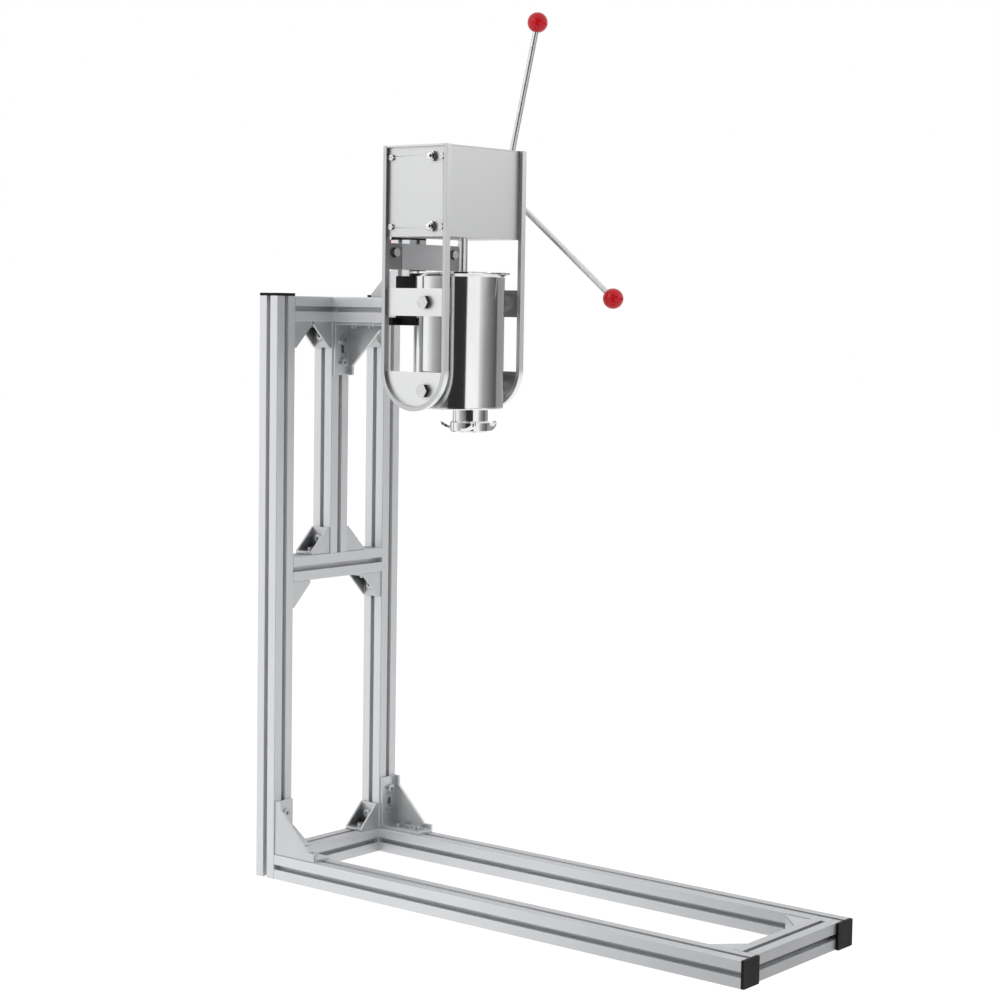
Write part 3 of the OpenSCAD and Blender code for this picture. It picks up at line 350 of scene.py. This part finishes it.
def turned(name, color, roughness, tones=(0.88, 1.06), haziness=0.07, mark_depth=TURNED_MARK_DEPTH):
    """Turned or rolled small parts: fine marks, a little oil haze."""
    f = Finish(name, color, metallic=1.0, roughness=roughness)
    marks = f.even_noise(1500, detail=5)
    haze = f.even_noise(140, detail=3)
    f.vary_color(haze, *tones)
    f.vary_roughness(f.add(marks, haze), haziness)
    f.bump(marks, mark_depth)
    return f


def bolt_metal():
    """Machined bolt heads: bright end faces, and a painted dark reflection on the flats that look up,
    down or towards the free end."""
    f = turned("bolt_steel", color=(0.78, 0.785, 0.79), roughness=0.22, tones=(0.90, 1.04), haziness=0.05,
               mark_depth=BOLT_MARK_DEPTH)
    to_free_end, _, up = f.normal()
    # Painted dark reflection on the flats that look up, down or towards the free end
    slanted = f.times(to_free_end, f.below(to_free_end, STRAIGHT_AT))
    painted_dark_reflection = f.spread(f.larger(f.size(up), slanted), 0, 1, from_low=0.3, from_high=0.6)
    f.darken(painted_dark_reflection, share=0.07)
    return f


def dome_metal():
    """Polished cap nuts, with a painted dark reflection on their side towards the free end."""
    f = Finish("dome_polished", color=(0.90, 0.905, 0.91), metallic=1.0, roughness=0.16)
    marks = f.even_noise(1200, detail=4)
    f.vary_color(marks, low=0.95, high=1.02)
    f.vary_roughness(marks, amount=0.04)
    f.bump(marks, DOME_MARK_DEPTH)
    # Painted dark reflection on the side towards the free end
    f.darken(f.spread(f.normal()[0], 0, 1, from_low=0.72, from_high=0.84), share=0.2)
    return f


def moulded(name, color, roughness, grain_depth, metallic=0.0, **inputs):
    """Moulded plastic or rubber, or enamel: its fine grain and a slight flow mottle."""
    f = Finish(name, color, metallic, roughness, **inputs)
    grain = f.even_noise(2200, detail=3)
    flow = f.even_noise(45, detail=3)
    f.vary_color(f.add(grain, flow), low=0.85, high=1.15)
    f.vary_roughness(flow, amount=0.05)
    f.bump(grain, grain_depth)
    return f


def lacquered_ball():
    """Red phenolic ball: deep colour under a clear gloss, with orange peel too fine to see far off."""
    f = Finish("red_ball", color=(0.70, 0.007, 0.018), metallic=0.0, roughness=0.22, Coat_Weight=0.35,
               Coat_Roughness=0.04, Specular_IOR_Level=0.15)
    flow = f.even_noise(70, detail=3)
    peel = f.even_noise(900, detail=2)
    f.vary_color(flow, low=0.92, high=1.10)
    f.vary_roughness(flow, amount=0.04)
    f.bump(peel, ORANGE_PEEL_DEPTH)
    return f


# Each finish with the break of its sharp edges, as real parts have it, and the nodes that carry it
LOOKS = [
    (anodised("x"), 0.35 * MM,
     ["rail_near", "rail_far", "arm_profile"]),
    (anodised("y"), 0.35 * MM,
     ["base_cross_rail", "end_cross_rail", "mid_cross_rail", "top_cross_rail"]),
    (anodised("z"), 0.35 * MM,
     ["post_near", "post_far", "mid_post", "mount_post"]),
    (cast_metal("die_cast", color=(0.60, 0.61, 0.62), roughness=0.33, painted_corner_shade=0.22), 0.8 * MM,
     ["corner_brackets"]),
    (cast_metal("gusset_cast", color=(0.64, 0.65, 0.66), roughness=0.40, painted_corner_shade=0.9), 0.8 * MM,
     ["gusset_near", "gusset_far", "gusset_arm"]),
    (turned("zinc_plate", color=(0.62, 0.63, 0.65), roughness=0.28), 0.4 * MM,
     ["frame_screws", "t_slot_nuts", "mount_screws"]),
    (bolt_metal(), 0.4 * MM,
     ["strap_bolts", "cover_screws", "roller_axles", "axle_spacers", "barrel_bolts", "wheel_shaft",
      "shaft_collars", "piston_nut"]),
    (dome_metal(), 0.4 * MM,
     ["dome_nuts"]),
    (polished("rod_ground", "z", color=(0.88, 0.885, 0.89), roughness=0.12), 0.15 * MM,
     ["rack_rod"]),
    (strap_bar(), 0.5 * MM,
     ["strap_near", "strap_far"]),
    (brushed("cross_bar_brushed", "y", color=(0.70, 0.705, 0.71), roughness=0.34), 0.5 * MM,
     ["cross_bar", "wheel_hub"]),
    (brushed("cover_brushed", "x", color=(0.68, 0.685, 0.69), roughness=0.34), 0.3 * MM,
     ["cover_near", "cover_far", "top_plate", "bottom_plate"]),
    (plate_steel(), 0.3 * MM,
     ["mid_plates", "low_plates"]),
    (brushed("casing_brushed", "y", color=(0.75, 0.755, 0.76), roughness=0.36), 0.3 * MM,
     ["casing_front", "casing_back"]),
    (polished("outlet_polished", "z", color=(0.88, 0.885, 0.89), roughness=0.07), 0.3 * MM,
     ["barrel_bottom", "barrel_lugs", "outlet_neck", "wing_nut", "shaping_die"]),
    (barrel_steel(), 0.3 * MM,
     ["barrel"]),
    (turned("arm_steel", color=(0.70, 0.705, 0.71), roughness=0.20), 0.3 * MM,
     ["wheel_arms"]),
    (turned("machined_steel", color=(0.60, 0.61, 0.63), roughness=0.30), 0.15 * MM,
     ["pinion", "pinion_key"]),
    (turned("bearing_bronze", color=(0.72, 0.52, 0.28), roughness=0.34), 0.3 * MM,
     ["shaft_bearing_near", "shaft_bearing_far"]),
    (moulded("grey_enamel", color=(0.66, 0.665, 0.675), roughness=0.42, grain_depth=ENAMEL_GRAIN_DEPTH,
             metallic=0.55), 0.3 * MM,
     ["clamp_plate"]),
    (moulded("black_plastic", color=(0.007, 0.007, 0.008), roughness=0.50, grain_depth=BLACK_GRAIN_DEPTH,
             Specular_IOR_Level=0.15), 0.8 * MM,
     ["profile_end_caps", "barrel_saddle"]),
    (moulded("white_plastic", color=(0.80, 0.80, 0.77), roughness=0.38, grain_depth=WHITE_GRAIN_DEPTH),
     0.4 * MM,
     ["die_gasket", "guide_roller_upper", "guide_roller_lower", "piston"]),
    (moulded("seal_rubber", color=(0.02, 0.02, 0.02), roughness=0.65, grain_depth=RUBBER_GRAIN_DEPTH),
     0.3 * MM,
     ["piston_seal"]),
    (lacquered_ball(), 0.3 * MM,
     ["wheel_balls"]),
]

# These have long thin triangles beside their screws, which hardened normals shade more evenly
FLAT_SHEETS = ("cover_near", "cover_far", "top_plate", "bottom_plate")
WELD_GAP = 0.002 * MM
EDGE_SEGMENTS = 2
SHARP_ANGLE = 32
LARGE_FACE_WEIGHT = 90


def soften_edges(name, edge_break):
    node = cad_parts[name]
    weld = node.modifiers.new("weld", "WELD")
    weld.merge_threshold = WELD_GAP
    bevel = node.modifiers.new("edge", "BEVEL")
    bevel.width = edge_break
    bevel.segments = EDGE_SEGMENTS
    bevel.limit_method = "ANGLE"
    bevel.angle_limit = math.radians(SHARP_ANGLE)
    bevel.use_clamp_overlap = True
    if name in FLAT_SHEETS:
        bevel.harden_normals = True
    else:
        shading = node.modifiers.new("shading", "WEIGHTED_NORMAL")
        shading.weight = LARGE_FACE_WEIGHT
        shading.keep_sharp = True


def dress_nodes():
    for finish, edge_break, names in LOOKS:
        for name in names:
            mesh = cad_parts[name].data
            mesh.materials.clear()
            mesh.materials.append(finish.material)
            soften_edges(name, edge_break)
    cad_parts["wheel_balls"].visible_glossy = False


# Studio: a white floor, soft lamps, and reflection cards that only shiny surfaces see

FLOOR_HALF = 14.0
FLOOR_SHADE = 0.86
FLOOR_GLOW = 1.14
FLOOR_GLOW_SHARE = 0.86
SKY_LIGHT = 0.62
SKY_SEEN = 1.0
KEY_LAMP = {"at": (-1.6, -3.2, 3.2), "towards": (0.2, 0, 0.7), "size": 2.2, "power": 20}
FILL_LAMP = {"at": (3.6, 1.2, 2.0), "towards": (0.2, 0, 0.6), "size": 2.0, "power": 6}

# Each card has its lower and upper edge and its stops, which are pairs of azimuth and strength
CARD_RADIUS = 6.0
CARD_STEP = 3.0
FULL_HEIGHT = (-4.0, 7.0)
LEFT_HEIGHT = (0.3, 1.15)
RIGHT_HEIGHT = (0.15, 1.36)
HEAD_HEIGHT = (1.37, 4.0)
CARDS = {
    "card_behind_camera": (FULL_HEIGHT, [(15, 0.03), (60, 0.03)]),
    "card_right": (RIGHT_HEIGHT, [(90, 1.0), (95, 0.7), (108, 0.34), (124, 0.19), (143, 0.09), (149, 0.09),
                                  (152, 0.30), (212, 0.36)]),
    "card_left": (LEFT_HEIGHT, [(-48, 1.0), (-26, 0.45), (-8, 0.26), (8, 0.10), (14.9, 0.05)]),
    "card_head_dark": (HEAD_HEIGHT, [(58, 0.04), (104, 0.04)]),
    "card_left_pale": (FULL_HEIGHT, [(-141, 0.62), (-95, 0.62)]),
}


def new_object(name, bm, material):
    mesh = bpy.data.meshes.new(name)
    bm.to_mesh(mesh)
    bm.free()
    mesh.materials.append(material)
    thing = bpy.data.objects.new(name, mesh)
    bpy.context.scene.collection.objects.link(thing)
    return thing


def blank_material(name):
    """A material whose node tree is still empty, with its nodes and links."""
    material = bpy.data.materials.new(name)
    material.use_nodes = True
    nodes, links = material.node_tree.nodes, material.node_tree.links
    nodes.clear()
    return material, nodes, links


def reflection_card(name, height, stops):
    """A curved card that only reflections see. Its stops give a strength at each azimuth, where 0 is -Y
    and 90 is +X; between two stops it runs smoothly from one to the other."""
    bm = bmesh.new()
    shade = bm.verts.layers.float.new("shade")
    rows = []
    for (start, first), (end, last) in zip(stops, stops[1:]):
        steps = max(1, round((end - start) / CARD_STEP))
        for i in range(steps + 1):
            share = i / steps
            a = math.radians(start + (end - start) * share)
            x, y = CARD_RADIUS * math.sin(a), -CARD_RADIUS * math.cos(a)
            row = [bm.verts.new((x, y, z)) for z in height]
            for vert in row:
                vert[shade] = first + (last - first) * share
            rows.append(row)
    for a, b in zip(rows, rows[1:]):
        if (a[0].co - b[0].co).length > MM:
            bm.faces.new((a[0], b[0], b[1], a[1]))
    material, nodes, links = blank_material(name)
    strength = nodes.new("ShaderNodeAttribute")
    strength.attribute_name = "shade"
    glow = nodes.new("ShaderNodeEmission")
    links.new(strength.outputs["Fac"], glow.inputs["Strength"])
    links.new(glow.outputs["Emission"], nodes.new("ShaderNodeOutputMaterial").inputs["Surface"])
    card = new_object(name, bm, material)
    card.visible_camera = card.visible_diffuse = card.visible_shadow = False
    card.visible_transmission = card.visible_volume_scatter = False


def make_floor():
    """A white floor. To the camera it is mostly its own even glow, so that shadows stay faint."""
    bm = bmesh.new()
    signs = ((-1, -1), (1, -1), (1, 1), (-1, 1))
    bm.faces.new([bm.verts.new((sx * FLOOR_HALF, sy * FLOOR_HALF, 0)) for sx, sy in signs])
    material, nodes, links = blank_material("studio_floor")
    matte = nodes.new("ShaderNodeBsdfDiffuse")
    matte.inputs["Color"].default_value = (FLOOR_SHADE, FLOOR_SHADE, FLOOR_SHADE, 1)
    glow = nodes.new("ShaderNodeEmission")
    glow.inputs["Strength"].default_value = FLOOR_GLOW
    seen = nodes.new("ShaderNodeMixShader")
    seen.inputs["Fac"].default_value = FLOOR_GLOW_SHARE
    links.new(matte.outputs["BSDF"], seen.inputs[1])
    links.new(glow.outputs["Emission"], seen.inputs[2])
    by_ray = nodes.new("ShaderNodeMixShader")
    links.new(nodes.new("ShaderNodeLightPath").outputs["Is Camera Ray"], by_ray.inputs["Fac"])
    links.new(matte.outputs["BSDF"], by_ray.inputs[1])
    links.new(seen.outputs["Shader"], by_ray.inputs[2])
    links.new(by_ray.outputs["Shader"], nodes.new("ShaderNodeOutputMaterial").inputs["Surface"])
    floor = new_object("studio_floor", bm, material)
    floor.visible_glossy = False


def make_world():
    """A white sky, full where it is seen, mirrored or looked through, and weaker as a light."""
    world = bpy.data.worlds.new("studio")
    bpy.context.scene.world = world
    world.use_nodes = True
    nodes, links = world.node_tree.nodes, world.node_tree.links
    nodes.clear()
    rays = nodes.new("ShaderNodeLightPath")
    seen = rays.outputs["Is Camera Ray"]
    for ray in ("Is Glossy Ray", "Is Transmission Ray"):
        either = nodes.new("ShaderNodeMath")
        either.operation = "MAXIMUM"
        links.new(seen, either.inputs[0])
        links.new(rays.outputs[ray], either.inputs[1])
        seen = either.outputs["Value"]
    strength = nodes.new("ShaderNodeMapRange")
    strength.inputs["To Min"].default_value = SKY_LIGHT
    strength.inputs["To Max"].default_value = SKY_SEEN
    links.new(seen, strength.inputs["Value"])
    sky = nodes.new("ShaderNodeBackground")
    sky.inputs["Color"].default_value = (1, 1, 1, 1)
    links.new(strength.outputs["Result"], sky.inputs["Strength"])
    links.new(sky.outputs["Background"], nodes.new("ShaderNodeOutputWorld").inputs["Surface"])


def area_lamp(name, at, towards, size, power):
    data = bpy.data.lights.new(name, "AREA")
    data.shape = "DISK"
    data.size = size
    data.energy = power
    lamp = bpy.data.objects.new(name, data)
    direction = Vector(towards) - Vector(at)
    lamp.matrix_world = Matrix.Translation(at) @ direction.to_track_quat("-Z", "Y").to_matrix().to_4x4()
    bpy.context.scene.collection.objects.link(lamp)


def make_studio():
    make_floor()
    make_world()
    area_lamp("key", **KEY_LAMP)
    area_lamp("fill", **FILL_LAMP)
    for name, (height, stops) in CARDS.items():
        reflection_card(name, height, stops)


make_camera()
dress_nodes()
make_studio()

scene = bpy.context.scene
scene.view_settings.view_transform = "Standard"
